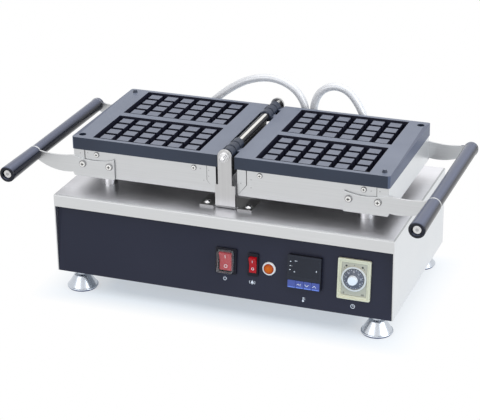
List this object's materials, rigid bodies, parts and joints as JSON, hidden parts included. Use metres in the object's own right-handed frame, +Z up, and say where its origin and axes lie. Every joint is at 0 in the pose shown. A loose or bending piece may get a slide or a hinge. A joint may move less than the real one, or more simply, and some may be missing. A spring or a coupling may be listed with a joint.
{
  "type": "waffle baker",
  "caption": "Countertop electric waffle baker: peg-grid baking plates on a shared hinge shaft open flat over a stainless case with a timer and temperature controller.",
  "frame": {"origin": "bottom centre of the machine's box, conduits left out, on the worktop", "axes": "+X to the operator's right, +Y away from the operator, +Z up"},
  "size_m": [0.6032, 0.3428, 0.2658],
  "materials": {
    "stainless": "fine brushed",
    "panel_dark": "satin dark blue-black",
    "galvanised": "plain sheet",
    "fastener": "plain machined",
    "shaft_steel": "ground",
    "plate_coating": "dark satin non-stick coating",
    "chrome": "bright, on a thin dark rubber sole",
    "grip_black": "satin",
    "heater_steel": "heat-stained tube",
    "insulation": "mineral wool",
    "conduit_silver": "smooth silver sleeve",
    "nickel": "nickel-plated",
    "black_plastic": "satin",
    "rocker_red": "glossy, lit from behind",
    "clear_cover": "clear",
    "lamp_white": "satin",
    "lamp_amber": "translucent",
    "controller_black": "satin",
    "window_dark": "dark clear",
    "key_blue": "satin",
    "timer_cream": "satin",
    "timer_grey": "satin",
    "knob_grey": "satin",
    "module_plastic": "plain"
  },
  "bodies": {
    "base": {"base_shell": "stainless", "front_panel": "panel_dark", "rear_panel": "galvanised", "bottom_plate": "galvanised", "case_screws": "fastener", "front_hinge_bracket": "stainless", "rear_hinge_bracket": "stainless", "bracket_bolts": "fastener", "hinge_shaft": "shaft_steel", "shaft_cap_nuts": "fastener", "rest_posts": "fastener", "conduit_glands": "nickel", "mains_gland": "black_plastic", "power_switch_body": "black_plastic", "power_switch_cover": "clear_cover", "alarm_switch_body": "black_plastic", "pilot_lamp_bezel": "lamp_white", "pilot_lamp_lens": "lamp_amber", "controller_case": "controller_black", "controller_window": "window_dark", "timer_frame": "timer_cream", "timer_body": "timer_grey", "terminal_block": "module_plastic", "heater_relay": "module_plastic", "alarm_buzzer": "module_plastic", "left_conduit": "conduit_silver", "right_conduit": "conduit_silver"},
    "left_half": {"left_plate": "plate_coating", "left_housing": "stainless", "left_heater": "heater_steel", "left_insulation": "insulation", "left_arms": "stainless", "left_screws": "fastener", "left_handle_rod": "fastener", "left_long_grip": "grip_black", "left_front_grip": "grip_black", "left_grip_cap": "grip_black", "left_conduit_elbow": "nickel"},
    "right_half": {"right_plate": "plate_coating", "right_housing": "stainless", "right_heater": "heater_steel", "right_insulation": "insulation", "right_arms": "stainless", "right_screws": "fastener", "right_handle_rod": "fastener", "right_long_grip": "grip_black", "right_front_grip": "grip_black", "right_grip_cap": "grip_black", "right_conduit_elbow": "nickel"},
    "power_rocker": {"power_rocker": "rocker_red"},
    "alarm_rocker": {"alarm_rocker": "rocker_red"},
    "timer_knob": {"timer_knob": "knob_grey"},
    "key_set": {"controller_key_set": "key_blue"},
    "key_shift": {"controller_key_shift": "key_blue"},
    "key_down": {"controller_key_down": "key_blue"},
    "key_up": {"controller_key_up": "key_blue"},
    "foot_front_left": {"foot_front_left": "chrome"},
    "foot_front_right": {"foot_front_right": "chrome"},
    "foot_rear_left": {"foot_rear_left": "chrome"},
    "foot_rear_right": {"foot_rear_right": "chrome"}
  },
  "joints": [
    {"name": "left_half_hinge", "type": "hinge", "parent": "base", "child": "left_half", "pos_m": [0, 0.01895, 0.2256], "axis": [0, 1, 0], "range_deg": [0, 180], "deforming": ["left_conduit"]},
    {"name": "right_half_hinge", "type": "hinge", "parent": "base", "child": "right_half", "pos_m": [0, 0.01895, 0.2256], "axis": [0, -1, 0], "range_deg": [0, 180], "deforming": ["right_conduit"]},
    {"name": "power_rocker_tilt", "type": "hinge", "parent": "base", "child": "power_rocker", "pos_m": [0.0092, -0.11375, 0.08262], "axis": [1, 0, 0], "range_deg": [-20, 0]},
    {"name": "alarm_rocker_tilt", "type": "hinge", "parent": "base", "child": "alarm_rocker", "pos_m": [0.0485, -0.11375, 0.08262], "axis": [1, 0, 0], "range_deg": [-20, 0]},
    {"name": "timer_knob_turn", "type": "hinge", "parent": "base", "child": "timer_knob", "pos_m": [0.1922, -0.11511, 0.08398], "axis": [0, 0.994, -0.109], "range_deg": [0, 280]},
    {"name": "key_set_press", "type": "slide", "parent": "base", "child": "key_set", "axis": [0, 0.994, -0.109], "range_m": [0, 0.0008], "stiffness_N_per_m": 1500},
    {"name": "key_shift_press", "type": "slide", "parent": "base", "child": "key_shift", "axis": [0, 0.994, -0.109], "range_m": [0, 0.0008], "stiffness_N_per_m": 1500},
    {"name": "key_down_press", "type": "slide", "parent": "base", "child": "key_down", "axis": [0, 0.994, -0.109], "range_m": [0, 0.0008], "stiffness_N_per_m": 1500},
    {"name": "key_up_press", "type": "slide", "parent": "base", "child": "key_up", "axis": [0, 0.994, -0.109], "range_m": [0, 0.0008], "stiffness_N_per_m": 1500},
    {"name": "foot_front_left_screw", "type": "slide", "parent": "base", "child": "foot_front_left", "axis": [0, 0, -1], "range_m": [0, 0.01]},
    {"name": "foot_front_right_screw", "type": "slide", "parent": "base", "child": "foot_front_right", "axis": [0, 0, -1], "range_m": [0, 0.01]},
    {"name": "foot_rear_left_screw", "type": "slide", "parent": "base", "child": "foot_rear_left", "axis": [0, 0, -1], "range_m": [0, 0.01]},
    {"name": "foot_rear_right_screw", "type": "slide", "parent": "base", "child": "foot_rear_right", "axis": [0, 0, -1], "range_m": [0, 0.01]}
  ]
}
